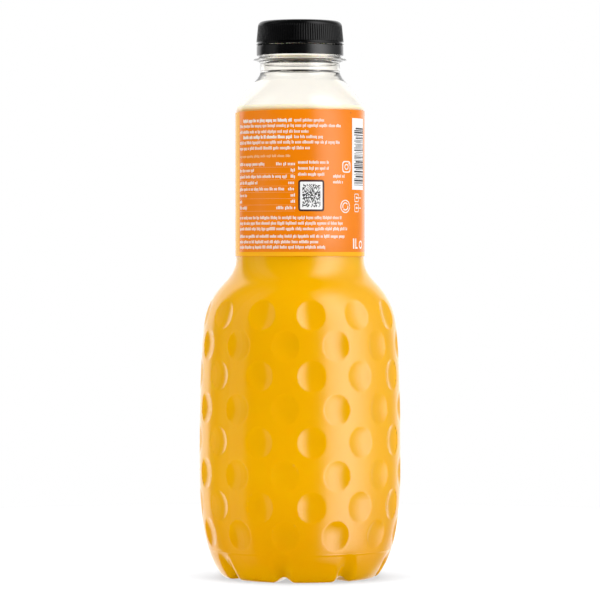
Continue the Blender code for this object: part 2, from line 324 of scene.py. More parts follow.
def onSkin(angle, length, inset):
    # a place on the bottle, so far in from its outside
    length = np.asarray(length, float)
    radius, height = outlinePlace(length)
    outward, upward = outlineNormal(length)
    return turned(angle, radius - inset * outward, height - inset * upward)


def cellEdge(first, last, count):
    # points from one corner of a cell up to the next, as (turn, length) pairs
    share = np.arange(count)[:, None] / count
    return np.array(first) * (1 - share) + np.array(last) * share


def cellLoop(row, detail):
    # the cell's boundary round a dimple in this row, from its right corner
    heights = (dimples["top"], *dimples["rowHeights"], dimples["bottom"])
    above, here, below = [lengthAt(height) for height in heights[row:row + 3]]
    half = math.pi / dimples["columns"]
    edge, side = detail["edge"], detail["side"]
    right, left, top, bottom = (half, here), (-half, here), (0.0, above), (0.0, below)
    if row == 0:
        n = detail["topEdge"]
        upper = [(right, (half, above), side), ((half, above), top, n),
                 (top, (-half, above), n), ((-half, above), left, side)]
    else:
        upper = [(right, top, edge), (top, left, edge)]
    if row == len(dimples["rowHeights"]) - 1:
        n = detail["bottomEdge"]
        lower = [(left, (-half, below), side), ((-half, below), bottom, n),
                 (bottom, (half, below), n), ((half, below), right, side)]
    else:
        lower = [(left, bottom, edge), (bottom, right, edge)]
    return np.vstack([cellEdge(*run) for run in upper + lower]), here


def dimpleRings(middle, row, inset, detail):
    # the dimple's lowest point, and rings of points from near it out to its cell's boundary
    loop, length = cellLoop(row, detail)
    radius = outlinePlace(length)[0]
    across, along = loop[:, 0] * radius, loop[:, 1] - length
    around = np.arctan2(along, across)
    rim = 1 / np.hypot(np.cos(around) / dimples["halfWidth"], np.sin(around) / dimples["halfHeight"])
    inward = -turned(middle, *outlineNormal(length))

    def skinAt(reach):
        return onSkin(middle + reach * np.cos(around) / radius, length + reach * np.sin(around), inset)

    def dishAt(share):
        press = dimples["depth"] * (1 - share**2)
        return skinAt(rim * share) + inward * np.reshape(press, (-1, 1))

    rings = [dishAt(share) for share in detail["dish"]]
    if detail["rounded"]:
        soft, last = dimples["rimRound"], dimples["outerRing"]
        inner, corner, outer = dishAt(1 - soft / rim), skinAt(rim), skinAt(rim + soft)
        for t in np.linspace(0, 1, dimples["rimRings"]):
            rings.append((1 - t) ** 2 * inner + 2 * t * (1 - t) * corner + t**2 * outer)
        rings.append(skinAt((1 - last) * (rim + soft) + last * np.hypot(across, along)))
    else:
        rings.append(skinAt(rim))
    rings.append(onSkin(middle + loop[:, 0], loop[:, 1], inset))
    return onSkin(middle, length, inset) + inward * dimples["depth"], rings


def addDimples(parts, inset, detail):
    for row in range(len(dimples["rowHeights"])):
        for column in range(dimples["columns"]):
            # every second row stands half a column further round
            middle = dimples["firstAngle"] + (column + row % 2 / 2) * math.tau / dimples["columns"]
            floor, rings = dimpleRings(middle, row, inset, detail)
            numbers = [parts.add(ring) for ring in rings]
            parts.closeRing(numbers[0], floor)
            for inner, outer in zip(numbers, numbers[1:]):
                parts.joinRings(inner, outer)


def edgeAngles(pointsPerEdge):
    # the angles of the points along the top or bottom of the dimpled zone
    return dimples["firstAngle"] + anglesRound(2 * dimples["columns"] * pointsPerEdge)


def groovePress(angle, length):
    # how far the feet's grooves press in here
    radius, height = outlinePlace(length)
    start, edge = feet["grooveStart"], shape["footOuter"][0]
    if length > lengthAtRadius(edge):
        share = min(1.0, feet["grooveGrowth"] * max(0.0, 1 - height / dimples["bottom"]))
    else:
        share = max(0.0, (radius - start) / (edge - start))
    step = math.tau / feet["count"]
    away = (angle - feet["grooveAngle"] + step / 2) % step - step / 2
    across = np.clip(np.abs(away) / feet["grooveHalfWidth"], 0, 1)
    return feet["grooveDepth"] * share * (0.5 + 0.5 * np.cos(math.pi * across))


def addBase(parts, inset, ridge):
    # from the dimples' lower edge, over the feet, to the middle of the underside
    angles = edgeAngles(fineDetail["bottomEdge"])
    start, half = lengthAt(dimples["bottom"]), feet["mouldLineHalf"]
    edge, side = lengthAtRadius(shape["footOuter"][0]), lengthAt(shape["footEdge"][1])
    places = [(start - half, 0.0), (start - 2 * half, ridge), (start - 3 * half, 0.0)]
    places += [(lengthAt(height), 0.0) for height in feet["sideRings"]]
    places += [(edge + (side - edge) * share, 0.0) for share in feet["edgeRings"]]
    places += [(lengthAtRadius(radius), 0.0) for radius in feet["underRings"]]
    ring = parts.add(onSkin(angles, start, inset))
    for length, raised in places:
        following = parts.add(onSkin(angles, length, inset - raised + groovePress(angles, length)))
        parts.joinRings(following, ring)
        ring = following
    parts.closeRing(ring, (0.0, 0.0, shape["domeMiddle"][1] + inset))


def sideHeights(top=math.inf):
    fold, shoulder, neck = (np.arange(*shape[run]) for run in ("foldRings", "shoulderRings", "neckRings"))
    heights = np.concatenate([fold, shape["waistRings"], shoulder, neck])
    return heights[heights < top]


bottle = {
    "wall": 0.34,
    "neckWalls": ((227.5, 0.34), (230.7, 0.62), (231.4, 0.75), (232.3, 1.2)),    # height and thickness
    # radius and height of places from the shoulder up the neck to its lip, and down inside
    "neckProfile": (
        (18.3, 232.5), (18.3, 235.3), (18.4, 235.8), (18.75, 236.35), (19.5, 236.75), (20.8, 237.05),
        (21.3, 237.18), (21.5, 237.4), (21.3, 237.62), (20.8, 237.8), (19.5, 238.25), (18.75, 238.65),
        (18.4, 239.05), (18.3, 239.4), (18.3, 252.6), (18.15, 252.95), (17.9, 253.1), (17.5, 253.1),
        (17.25, 252.95), (17.1, 252.6), (17.1, 232.7),
    ),
    "tint": (0.968, 0.952, 0.915, 1.0),
    "roughness": 0.0,
    "ior": 1.575,
    "finish": {
        "grain": {"Grain Scale": 400.0, "Wave Scale": 45.0, "Wave Share": 0.97},
        "gloss": 0.5,
        "bump": 0.07,
        "bumpDistance": 0.6,
    },
}


def makeClearPlastic():
    material, shader = newMaterial("clearPlastic")
    nodes, links = material.node_tree.nodes, material.node_tree.links
    setInputs(shader, {"Base Color": bottle["tint"], "Roughness": bottle["roughness"], "IOR": bottle["ior"],
                       "Metallic": 0.0, "Transmission Weight": 1.0})
    addSurface(material, shader, bottle["finish"])
    # light reaches the drink through the wall without being bent
    path, either = nodes.new("ShaderNodeLightPath"), nodes.new("ShaderNodeMath")
    clear, mix = nodes.new("ShaderNodeBsdfTransparent"), nodes.new("ShaderNodeMixShader")
    either.operation = "MAXIMUM"
    links.new(path.outputs["Is Shadow Ray"], either.inputs[0])
    links.new(path.outputs["Is Diffuse Ray"], either.inputs[1])
    links.new(either.outputs["Value"], mix.inputs["Fac"])
    links.new(shader.outputs["BSDF"], mix.inputs[1])
    links.new(clear.outputs["BSDF"], mix.inputs[2])
    links.new(mix.outputs["Shader"], nodes["Material Output"].inputs["Surface"])
    return material


def wallAt(height):
    return np.interp(height, *zip(*bottle["neckWalls"]))


def buildBottle(material):
    parts = MeshParts()
    angles, wall = edgeAngles(fineDetail["topEdge"]), bottle["wall"]
    start, heights = lengthAt(dimples["top"]), sideHeights()
    addDimples(parts, 0.0, fineDetail)
    addBase(parts, 0.0, feet["mouldLine"])
    ring = parts.add(onSkin(angles, start, 0.0))
    ring = parts.joinOn(ring, [onSkin(angles, lengthAt(height), 0.0) for height in heights])
    ring = parts.joinOn(ring, [turned(angles, *place) for place in bottle["neckProfile"]])
    inside = [onSkin(angles, lengthAt(height), wallAt(height)) for height in heights[::-1]]
    parts.joinOn(ring, inside + [onSkin(angles, start, wall)])
    addDimples(parts, wall, plainDetail)
    addBase(parts, wall, 0.0)
    piece = parts.makeObject("clearBottle", material)
    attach(piece, "root")
    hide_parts("bottle")


juice = {
    "inset": 0.28,            # from the bottle's outside: just into the wall
    "level": 215.3,
    "wallAbove": 0.7,         # where, above the level, the bottle's width at the drink's edge is read
    # in from the wall, and up
    "meniscus": ((0.0, 0.75), (0.35, 0.42), (0.9, 0.2), (1.8, 0.06), (3.2, 0.0)),
    "surfaceRings": (0.7, 0.4, 0.15),   # shares of the surface's radius
    # body, feet, low and high are painted shade and light up the side: the drink is darker and more orange
    # lower down, lighter higher up, and a little lighter again at the feet
    "body": (0.83, 0.415, 0.0006, 1.0),
    "feet": (0.80, 0.39, 0.0006, 1.0),
    "low": (0.77, 0.36, 0.0006, 1.0),
    "high": (0.84, 0.43, 0.0010, 1.0),
    # the colour turns pale cream in a thin band just under the level
    "paleTop": (0.93, 0.84, 0.66, 1.0),
    "paleTopEdge": (0.84, 0.54, 0.22, 1.0),
    # where each colour stands, as heights and, near the top, as depths below the level
    "heights": ((2.0, "feet"), (9.0, "low"), (18.0, "low"), (50.0, "body"), (110.0, "body"),
                (150.0, "high")),
    "depths": ((2.2, "high"), (1.3, "paleTopEdge"), (0.4, "paleTop")),
    "fullAbove": 1.0,         # the colours' range ends so far above the level
    "pulpScale": 35.0,
    "pulpDetail": 4.0,
    "pulpBrightness": (0.97, 1.03),
    "roughness": 0.6,
    "softness": 0.35,         # share of the light that spreads inside
    "spread": (1.0, 0.55, 0.12),
    "spreadDistance": 6.0,
}


def makeJuice():
    material, shader = newMaterial("orangeDrink")
    nodes, links = material.node_tree.nodes, material.node_tree.links
    place, axes = nodes.new("ShaderNodeTexCoord"), nodes.new("ShaderNodeSeparateXYZ")
    links.new(place.outputs["Object"], axes.inputs["Vector"])
    # the colour by height, with its painted shade darker lower down
    share, heightColour = nodes.new("ShaderNodeMath"), nodes.new("ShaderNodeValToRGB")
    full = juice["level"] + juice["fullAbove"]
    stops = juice["heights"] + tuple((juice["level"] - depth, name) for depth, name in juice["depths"])
    ramp = heightColour.color_ramp
    while len(ramp.elements) < len(stops):
        ramp.elements.new(0.5)
    for element, (height, name) in zip(ramp.elements, stops):
        element.position = height / full
        element.color = juice[name]
    share.operation = "DIVIDE"
    share.inputs[1].default_value = full * mm
    links.new(axes.outputs["Z"], share.inputs[0])
    links.new(share.outputs["Value"], heightColour.inputs["Fac"])
    # the pulp makes it a little lighter and darker in places
    pulp, vary = nodes.new("ShaderNodeTexNoise"), nodes.new("ShaderNodeHueSaturation")
    brightness = nodes.new("ShaderNodeMapRange")
    darkest, lightest = juice["pulpBrightness"]
    setInputs(pulp, {"Scale": juice["pulpScale"], "Detail": juice["pulpDetail"]})
    setInputs(brightness, {"To Min": darkest, "To Max": lightest})
    links.new(place.outputs["Object"], pulp.inputs["Vector"])
    links.new(pulp.outputs["Fac"], brightness.inputs["Value"])
    links.new(brightness.outputs["Result"], vary.inputs["Value"])
    links.new(heightColour.outputs["Color"], vary.inputs["Color"])
    links.new(vary.outputs["Color"], shader.inputs["Base Color"])
    setInputs(shader, {"Roughness": juice["roughness"], "Specular IOR Level": 0.0,
                       "Subsurface Weight": juice["softness"], "Subsurface Radius": juice["spread"],
                       "Subsurface Scale": juice["spreadDistance"] * mm})
    return material


def buildJuice(material):
    parts = MeshParts()
    angles = edgeAngles(fineDetail["topEdge"])
    inset, level = juice["inset"], juice["level"]
    addDimples(parts, inset, fineDetail)
    addBase(parts, inset, 0.0)
    ring = parts.add(onSkin(angles, lengthAt(dimples["top"]), inset))
    ring = parts.joinOn(ring, [onSkin(angles, lengthAt(height), inset) for height in sideHeights(level)])
    wallRadius = float(outlinePlace(lengthAt(level + juice["wallAbove"]))[0]) - inset
    places = [(wallRadius - inward, level + up) for inward, up in juice["meniscus"]]
    places += [(wallRadius * share, level) for share in juice["surfaceRings"]]
    ring = parts.joinOn(ring, [turned(angles, *place) for place in places])
    parts.closeRing(ring, (0.0, 0.0, level))
    piece = parts.makeObject("orangeDrink", material)
    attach(piece, "root")
    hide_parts("juice")
    piece.visible_diffuse = False      # casts no orange light on the floor, whose shadow stays grey


label = {
    "radius": 29.75,
    "thickness": 0.25,
    "bottom": 147.3,
    "top": 213.6,
    "topTilt": 0.4,           # how far the top edge runs out of level, at either side
    "edgeRound": 0.08,
    "sides": 240,
    "orange": (0.81, 0.195, 0.002, 1.0),
    "orangeWarm": (0.86, 0.235, 0.003, 1.0),
    "yellow": (0.93, 0.44, 0.012, 1.0),
    "finish": {
        "roughness": (0.15, 0.22),
        "gloss": 0.4,
        "grain": {"Grain Scale": 700.0, "Wave Scale": 30.0, "Wave Share": 0.8},
        "bump": 0.06,
        "bumpDistance": 0.5,
    },
}


def labelTop(angle):
    return label["top"] + label["topTilt"] * np.sin(angle)


def buildLabel(material):
    parts = MeshParts()
    angles = anglesRound(label["sides"])
    outer, inner, soft = label["radius"], label["radius"] - label["thickness"], label["edgeRound"]
    top, bottom = labelTop(angles), label["bottom"]
    rings = [(inner, bottom), (outer - soft, bottom), (outer, bottom + soft)]
    rings += [(outer, bottom + (top - bottom) * share) for share in (0.25, 0.5, 0.75)]
    rings += [(outer, top - soft), (outer - soft, top), (inner, top)]
    parts.addTube([turned(angles, *ring) for ring in rings])
    piece = parts.makeObject("sleeve", material, sharpAngle=50)
    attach(piece, "root")
    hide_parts("label")


# Print on the sleeve: thin plates of ink in places (along, height), where along is measured round
# the sleeve from the front
ink = {
    # how far the plates stand out of the sleeve, so that one layer covers another, and reach into it
    "fieldLift": 0.015,
    "lift": 0.03,
    "panelLift": 0.045,
    "darkLift": 0.06,
    "paleLift": 0.09,
    "below": 0.06,
    "columnWidth": 1.5,       # a plate's faces bend round the sleeve in columns of this width
    "discColumns": 2.5,       # columns for each millimetre of a disc's radius
    "leastDiscColumns": 12,
    "ringPoints": 33,
    "white": (0.93, 0.86, 0.80, 1.0),
    "panelWhite": (0.93, 0.93, 0.93, 1.0),
    "dark": (0.022, 0.020, 0.022, 1.0),
    "brown": (0.055, 0.016, 0.012, 1.0),
    "caption": (0.93, 0.55, 0.27, 1.0),
    "waveTone": 0.94,         # how dark its colour gets in places
    "roughness": (0.3, 0.42),
    "fieldGloss": 0.15,       # of the yellow field
    "seed": 7,
}

# The marks that a line of small print is made of
marks = {
    "pitch": 0.56,
    "fill": 0.62,             # share of the pitch that is ink
    "boldFill": 0.84,
    "wordLengths": (2, 9),
    "wordGap": 0.9,           # in pitches
    "overhang": 0.3,          # how far a line's last mark may pass its end
    # how far a mark reaches from the line's middle, in sizes, and which share of them reach further
    "half": 0.5,
    "hang": 0.8,
    "hangShare": 0.12,
    "stand": 0.85,
    "standFrom": 0.7,
}


def makeInk(name, colour, **changes):
    # the sleeve's film under ink, which makes it less smooth unless the changes say otherwise
    finish = {**label["finish"], "roughness": ink["roughness"], **changes}
    waveColour = tuple(ink["waveTone"] * c for c in colour[:3]) + (1.0,)
    return makePlastic(name, finish, colour, waveColour)


def columnCount(left, right, least):
    return max(least, int((right - left) / ink["columnWidth"]) + 2)


class PrintParts:
    # collects flat shapes of one ink and wraps them round the sleeve as thin closed plates
    def __init__(self, lift):
        self.parts = MeshParts()
        self.lift = lift

    def addGrid(self, rows):
        # rows of (along, height) points, all of one count
        rows = np.array(rows, float)
        angle, height = rows[..., 0] / label["radius"], rows[..., 1]
        sheets = []
        for radius in (label["radius"] + self.lift, label["radius"] - ink["below"]):
            numbers = self.parts.add(turned(angle, radius, height))
            sheets.append(np.array(numbers).reshape(angle.shape))
        count, width = angle.shape
        for sheet in sheets:
            for i in range(count - 1):
                for j in range(width - 1):
                    face = (sheet[i, j], sheet[i, j + 1], sheet[i + 1, j + 1], sheet[i + 1, j])
                    self.parts.faces.append(face)
        rim = [(0, j) for j in range(width)]
        rim += [(i, width - 1) for i in range(1, count)]
        rim += [(count - 1, j) for j in range(width - 2, -1, -1)]
        rim += [(i, 0) for i in range(count - 2, 0, -1)]
        front, back = sheets
        for a, b in zip(rim, rim[1:] + rim[:1]):
            self.parts.faces.append((front[a], front[b], back[b], back[a]))

    def bar(self, left, right, low, high):
        across = np.linspace(left, right, columnCount(left, right, 2))
        self.addGrid([[(u, v) for u in across] for v in (low, high)])

    def roundBar(self, left, right, low, high, corner):
        rows = []
        turns = np.linspace(0, math.pi / 2, 6)
        cuts = [(corner * (1 - math.cos(t)), corner * (1 - math.sin(t))) for t in turns]
        levels = [(low + up, cut) for up, cut in cuts] + [(high - down, cut) for down, cut in cuts[::-1]]
        for height, cut in levels:
            across = np.linspace(left + cut, right - cut, columnCount(left, right, 4))
            rows.append([(u, height) for u in across])
        self.addGrid(rows)

    def disc(self, along, height, radius):
        rows = []
        columns = max(ink["leastDiscColumns"], int(ink["discColumns"] * radius))
        steepest = 0.495 * math.pi       # just short of the ends, so that no row shrinks to a point
        for t in np.linspace(-steepest, steepest, columns + 1):
            half = radius * math.cos(t)
            across = np.linspace(along - half, along + half, columns)
            rows.append([(u, height + radius * math.sin(t)) for u in across])
        self.addGrid(rows)

    def ring(self, along, height, radius, width, squareness=2.0, start=0.0, end=math.tau):
        # a round or rounded-square band of ink, or part of one
        rows = [[], []]
        for t in np.linspace(start, end, ink["ringPoints"]):
            c, s = math.cos(t), math.sin(t)
            grow = (abs(c) ** squareness + abs(s) ** squareness) ** (-1 / squareness)
            for row, reach in zip(rows, (radius, radius - width)):
                row.append((along + reach * grow * c, height + reach * grow * s))
        self.addGrid(rows)

    def words(self, left, right, height, size, draw, pitch=marks["pitch"], fill=marks["fill"]):
        # a line of plain marks, grouped like words
        along = left
        while along < right:
            for _ in range(draw.randint(*marks["wordLengths"])):
                if along + pitch > right + marks["overhang"]:
                    return
                form = draw.random()
                down = marks["hang"] if form <= marks["hangShare"] else marks["half"]
                up = marks["stand"] if form >= marks["standFrom"] else marks["half"]
                self.bar(along, along + pitch * fill, height - size * down, height + size * up)
                along += pitch
            along += pitch * marks["wordGap"]

    def makeObject(self, name, material):
        piece = self.parts.makeObject(name, material, mergeDistance=0.0005, sharpAngle=30)
        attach(piece, "root")


smallPrint = {
    "left": -34.6,
    "size": 1.05,
    # height and right end of each line
    "lines": ((208.6, 11.8), (206.2, 20.6), (203.55, 3.9), (201.1, 10.9), (198.7, 19.5), (196.1, 4.3),
              (164.6, 20.6), (162.1, 21.2), (159.6, 24.1), (156.2, 22.3), (153.7, 8.9), (151.3, 11.9)),
    "boldHeights": (208.6, 201.1),      # of the lines that start in bold
    "boldIndent": 3.4,
    "boldEnd": -3.4,
    "boldGap": 0.8,
    "boldSize": 1.1,          # beside the size of the rest
    "caption": (192.5, -4.4),           # height and right end of the fainter line
    "captionSize": 0.8,
    "tableTop": 188.9,
    "tableStep": 2.83,
    "tableLeftEnds": (-17.2, -23.2, -6.1, -20.8, -7.3, -28.2, -32.2, -27.2),
    "tableValues": (-11.0, -4.2, -4.2, -5.3, -5.3, -4.2, -4.2, -10.9),     # where each starts
    "tableRight": -2.2,
    "valuePitch": 0.7,
    "ruleHeight": 0.07,
    # height, left end and right end
    "sideNote": ((189.6, -0.8, 13.8), (186.9, -0.8, 13.3), (184.2, -0.8, 11.2)),
    "iconNote": ((183.4, 15.7, 22.3), (180.8, 15.7, 21.1)),
}


def buildSmallPrint(material):
    draw = random.Random(ink["seed"])
    plates = PrintParts(ink["lift"])
    size, left, boldEnd = smallPrint["size"], smallPrint["left"], smallPrint["boldEnd"]
    for height, right in smallPrint["lines"]:
        start = left
        if height in smallPrint["boldHeights"]:
            indent, boldSize = smallPrint["boldIndent"], size * smallPrint["boldSize"]
            plates.words(left + indent, boldEnd, height, boldSize, draw, fill=marks["boldFill"])
            start = boldEnd + smallPrint["boldGap"]
        plates.words(start, right, height, size, draw)
    rows = zip(smallPrint["tableLeftEnds"], smallPrint["tableValues"])
    for row, (wordEnd, valueStart) in enumerate(rows):
        height = smallPrint["tableTop"] - row * smallPrint["tableStep"]
        plates.words(left, wordEnd, height, size, draw)
        plates.words(valueStart, smallPrint["tableRight"], height, size, draw, smallPrint["valuePitch"])
    for height, start, end in smallPrint["sideNote"] + smallPrint["iconNote"]:
        plates.words(start, end, height, size, draw)
    plates.makeObject("smallPrint", material)


def buildCaptionPrint(material):
    # the fainter line above the table, and the table's rules
    draw = random.Random(ink["seed"] + 1)
    plates = PrintParts(ink["lift"])
    height, right = smallPrint["caption"]
    size = smallPrint["size"] * smallPrint["captionSize"]
    plates.words(smallPrint["left"], right, height, size, draw)
    for row in range(len(smallPrint["tableValues"])):
        low = smallPrint["tableTop"] - (row + 0.5) * smallPrint["tableStep"]
        plates.bar(smallPrint["left"], smallPrint["tableRight"], low, low + smallPrint["ruleHeight"])
    plates.makeObject("captionPrint", material)


signs = {
    "squareSign": (20.8, 26.1, 185.2, 190.5),  # left, right, low, high of the rounded outline
    "squareLine": 0.55,
    "squareness": 4.5,                        # 2 is round, and more is squarer
    "squareEye": (1.35, 0.5),                 # radius and width of the ring in its middle
    "squareDot": (1.5, 1.4, 0.28),            # along and up from the middle, radius
    "roundSign": (22.7, 169.9, 3.0, 0.45),    # along, height, radius, width
    "arcs": ((0.6, 3.6), (3.9, 6.5)),         # angles where each arc in it starts and ends
    "arcReach": 0.62,                         # their radius beside that of the sign
    "arcWidth": 0.5,
    "boxSigns": ((31.2, 173.9), (31.2, 169.3)),  # along, height
    "box": (1.9, 0.35, 8.0),                  # radius, width, squareness
    # left, right, low, high from the box's middle
    "boxBars": ((0.7, 4.6, -0.2, 0.2), (-0.6, 0.6, -0.5, 0.5)),
    "volumeBars": ((28.1, 29.1, 150.7, 155.4), (30.0, 30.8, 150.7, 155.4), (30.8, 32.2, 150.7, 151.5)),
    "volumeRing": (35.4, 152.6, 1.9, 0.7),    # along, height, radius, width
    "pattern": (-0.8, 11.2, 167.6, 181.8),    # left, right, low, high of the framed square
    "patternBorder": 0.85,
    "patternMargin": 1.05,
    "patternCells": 21,
    "patternShare": 0.48,                     # of the cells that are dark
    "frameCorner": 1.2,
    "panelCorner": 0.5,
    "stripes": (27.4, 38.9, 177.6, 210.1),    # the white panel beside it
    "stripesFrom": 179.6,
    "stripesTo": 205.4,
    "stripeLeft": 29.0,
    # each stripe's width, gap and indent is drawn from these
    "stripeWidths": (0.25, 0.25, 0.5, 0.75),
    "stripeGaps": (0.25, 0.3, 0.5),
    "stripeIndents": (0.0, 0.0, 1.2),
    "topMark": (26.3, 26.55, 212.2, 212.75),  # left, right, low, high
}


def buildSigns(material):
    plates = PrintParts(ink["lift"])
    left, right, low, high = signs["squareSign"]
    along, height = (left + right) / 2, (low + high) / 2
    plates.ring(along, height, (right - left) / 2, signs["squareLine"], signs["squareness"])
    plates.ring(along, height, *signs["squareEye"])
    aside, up, radius = signs["squareDot"]
    plates.disc(along + aside, height + up, radius)
    along, height, radius, width = signs["roundSign"]
    plates.ring(along, height, radius, width)
    for start, end in signs["arcs"]:
        plates.ring(along, height, radius * signs["arcReach"], signs["arcWidth"], start=start, end=end)
    for along, height in signs["boxSigns"]:
        plates.ring(along, height, *signs["box"])
        for left, right, low, high in signs["boxBars"]:
            plates.bar(along + left, along + right, height + low, height + high)
    for place in signs["volumeBars"]:
        plates.bar(*place)
    plates.ring(*signs["volumeRing"])
    plates.makeObject("signPrint", material)


def buildPanels(material):
    # the white grounds of the square pattern and of the stripes
    plates = PrintParts(ink["panelLift"])
    left, right, low, high = signs["pattern"]
    edge = signs["patternBorder"]
    plates.roundBar(left + edge, right - edge, low + edge, high - edge, signs["panelCorner"])
    plates.bar(*signs["stripes"])
    plates.makeObject("whitePanels", material)


def buildPatternFrame(material):
    plates = PrintParts(ink["lift"])
    plates.roundBar(*signs["pattern"], signs["frameCorner"])
    plates.makeObject("patternFrame", material)


def buildDarkPrint(material):
    # the cells of the pattern, the stripes, and a small mark at the sleeve's top
    draw = random.Random(ink["seed"] + 2)
    plates = PrintParts(ink["darkLift"])
    left, right, low, high = signs["pattern"]
    margin = signs["patternBorder"] + signs["patternMargin"]
    cells = signs["patternCells"]
    across, up = (right - left - 2 * margin) / cells, (high - low - 2 * margin) / cells
    for i in range(cells):
        for j in range(cells):
            if draw.random() < signs["patternShare"]:
                u, v = left + margin + i * across, low + margin + j * up
                plates.bar(u, u + across, v, v + up)
    v, end = signs["stripesFrom"], signs["stripes"][1]
    while v < signs["stripesTo"]:
        width = draw.choice(signs["stripeWidths"])
        plates.bar(signs["stripeLeft"] + draw.choice(signs["stripeIndents"]), end, v, v + width)
        v += width + draw.choice(signs["stripeGaps"])
    plates.bar(*signs["topMark"])
    plates.makeObject("darkPrint", material)


farSide = {
    # the yellow field goes from its left round the back to the strip at the photo's left
    "left": 48.0,
    "right": 151.5,
    "edge": 0.12,             # how much of the sleeve shows above and below it
    "columns": 80,
    "strip": (147.42, 149.25),          # low and high of the field's strip round the front
    "middle": 100.0,          # of the big disc and the bars
    "discHeight": 178.0,
    "discRadius": 19.0,
    # the small discs: along from that middle, height, radius
    "discs": ((-27, 192, 5.5), (28, 197, 4.5), (-29, 160, 4.0), (27, 158, 6.0)),
    "rimInset": 0.8,
    "rimWidth": 1.1,
    "wedges": 9,
    "wedgeStart": 2.4,        # from the disc's middle
    "wedgeEnd": 3.4,          # from the disc's edge
    "wedgeHalf": 0.40,        # of the angle from one wedge to the next
    "wedgeTaper": 1.1,        # how narrow they get towards the middle
    # height, half width and half height
    "bars": ((204.5, 26.0, 1.6), (200.8, 17.0, 0.8), (154.6, 20.0, 0.7)),
    "barCorner": 0.9,         # beside half their height
    "cream": (0.95, 0.80, 0.50, 1.0),
}


def buildYellowField(material):
    plates = PrintParts(ink["fieldLift"])
    left, right, edge = farSide["left"], farSide["right"], farSide["edge"]
    columns = np.linspace(left, right, farSide["columns"])
    low, high = label["bottom"] + edge, labelTop(columns / label["radius"]) - edge
    plates.addGrid([list(zip(columns, low + (high - low) * share)) for share in (0, 0.5, 1)])
    plates.bar(right - math.tau * label["radius"], left, *farSide["strip"])
    plates.makeObject("yellowPrint", material)


def buildFarDisc(material):
    plates = PrintParts(ink["lift"])
    plates.disc(farSide["middle"], farSide["discHeight"], farSide["discRadius"])
    for along, height, radius in farSide["discs"]:
        plates.disc(farSide["middle"] + along, height, radius)
    plates.makeObject("farDiscs", material)


def buildFarPale(material):
    # pale wedges in the big disc, its rim, and plain bars above and below
    plates = PrintParts(ink["paleLift"])
    along, height, radius = farSide["middle"], farSide["discHeight"], farSide["discRadius"]
    plates.ring(along, height, radius - farSide["rimInset"], farSide["rimWidth"])
    step = math.tau / farSide["wedges"]
    for n in range(farSide["wedges"]):
        rows = []
        for reach in np.linspace(farSide["wedgeStart"], radius - farSide["wedgeEnd"], 8):
            half = step * farSide["wedgeHalf"] * (1 - farSide["wedgeTaper"] / reach)
            turns = np.linspace(n * step - half, n * step + half, 7)
            rows.append([(along + reach * math.cos(t), height + reach * math.sin(t)) for t in turns])
        plates.addGrid(rows)
    for barHeight, half, thick in farSide["bars"]:
        corner = thick * farSide["barCorner"]
        plates.roundBar(along - half, along + half, barHeight - thick, barHeight + thick, corner)
    plates.makeObject("farPale", material)


cap = {
    "top": 255.1,
    "radiusLow": 20.05,
    "radiusHigh": 19.35,
    "edgeRound": 2.3,
    "edgeSteps": 12,
    "inner": 18.6,            # radius and height of the hollow inside
    "roof": 253.4,
    # radius and height of places from the skirt's lower edge, over its lip, to above the groove
    "lip": ((18.6, 244.2), (19.9, 244.2), (20.1, 244.35), (20.1, 244.7), (19.95, 244.85), (19.2, 244.9),
            (19.2, 245.5), (19.85, 245.55)),
    "skirtBottom": 245.6,
    "sideShares": (0.0, 0.02, 0.15, 0.4, 0.7, 0.9, 1.0),      # rings from there up to the rounded edge
    # of the shallow dish in the top: its rim, its floor and a ring in that
    "dishRadii": (15.0, 14.6, 6.0),
    "dishDepth": 0.12,
    "ribs": 108,
    "ribDepth": 0.42,
    "grooveShape": 0.25,      # the lower, the narrower the grooves and the flatter the ribs
    "ribTop": 253.1,
    "ribFade": 0.5,           # over which height the grooves run out below that
    "pointsPerRib": 8,
    "black": (0.0020, 0.0020, 0.0022, 1.0),
    "blackWorn": (0.0032, 0.0032, 0.0034, 1.0),
    "finish": {
        "roughness": (0.14, 0.23),
        "gloss": 0.24,
        "grain": {"Grain Scale": 2600.0, "Wave Scale": 90.0, "Wave Share": 0.3},
        "bump": 0.25,
        "bumpDistance": 0.04,
    },
}

band = {
    "low": 239.4,
    "high": 243.85,
    "radius": 19.95,
    "sides": 180,
    # places over its edges: in from the radius, and in from its lower or upper end
    "lowEdge": ((0.25, 0.0), (0.06, 0.08), (0.0, 0.25)),
    "highEdge": ((0.0, 0.2), (0.06, 0.06), (0.2, 0.0)),
    "bridges": 12,            # small posts that join it to the skirt
    "bridgeWidth": 0.9,
    "bridgeInset": (0.1, 0.4),          # from its inside and from its outside
    "bridgeOverlap": 0.1,
    "bridgeTurn": math.radians(9.0),
    "gloss": 0.5,
}


def makeBlackPlastic(name, gloss):
    return makePlastic(name, {**cap["finish"], "gloss": gloss}, cap["black"], cap["blackWorn"])


def ribPress(angles, height):
    # the grooves between the ribs, which run out just below the rounded top edge
    if height <= cap["skirtBottom"]:
        return 0.0 * angles
    wave = np.abs(np.sin(angles * cap["ribs"] / 2))
    fade = np.clip((cap["ribTop"] - height) / cap["ribFade"], 0, 1)
    return cap["ribDepth"] * (1 - wave**cap["grooveShape"]) * np.sqrt(fade)


def capOutside():
    # radius and height of places up the cap's outside
    low, edge, high = cap["skirtBottom"], cap["edgeRound"], cap["radiusHigh"]
    sideTop = cap["top"] - edge
    places = list(cap["lip"])
    for share in cap["sideShares"]:
        places.append((cap["radiusLow"] + (high - cap["radiusLow"]) * share, low + (sideTop - low) * share))
    for n in range(cap["edgeSteps"]):
        turn = math.pi / 2 * (n + 1) / cap["edgeSteps"]
        places.append((high - edge * (1 - math.cos(turn)), sideTop + edge * math.sin(turn)))
    return places


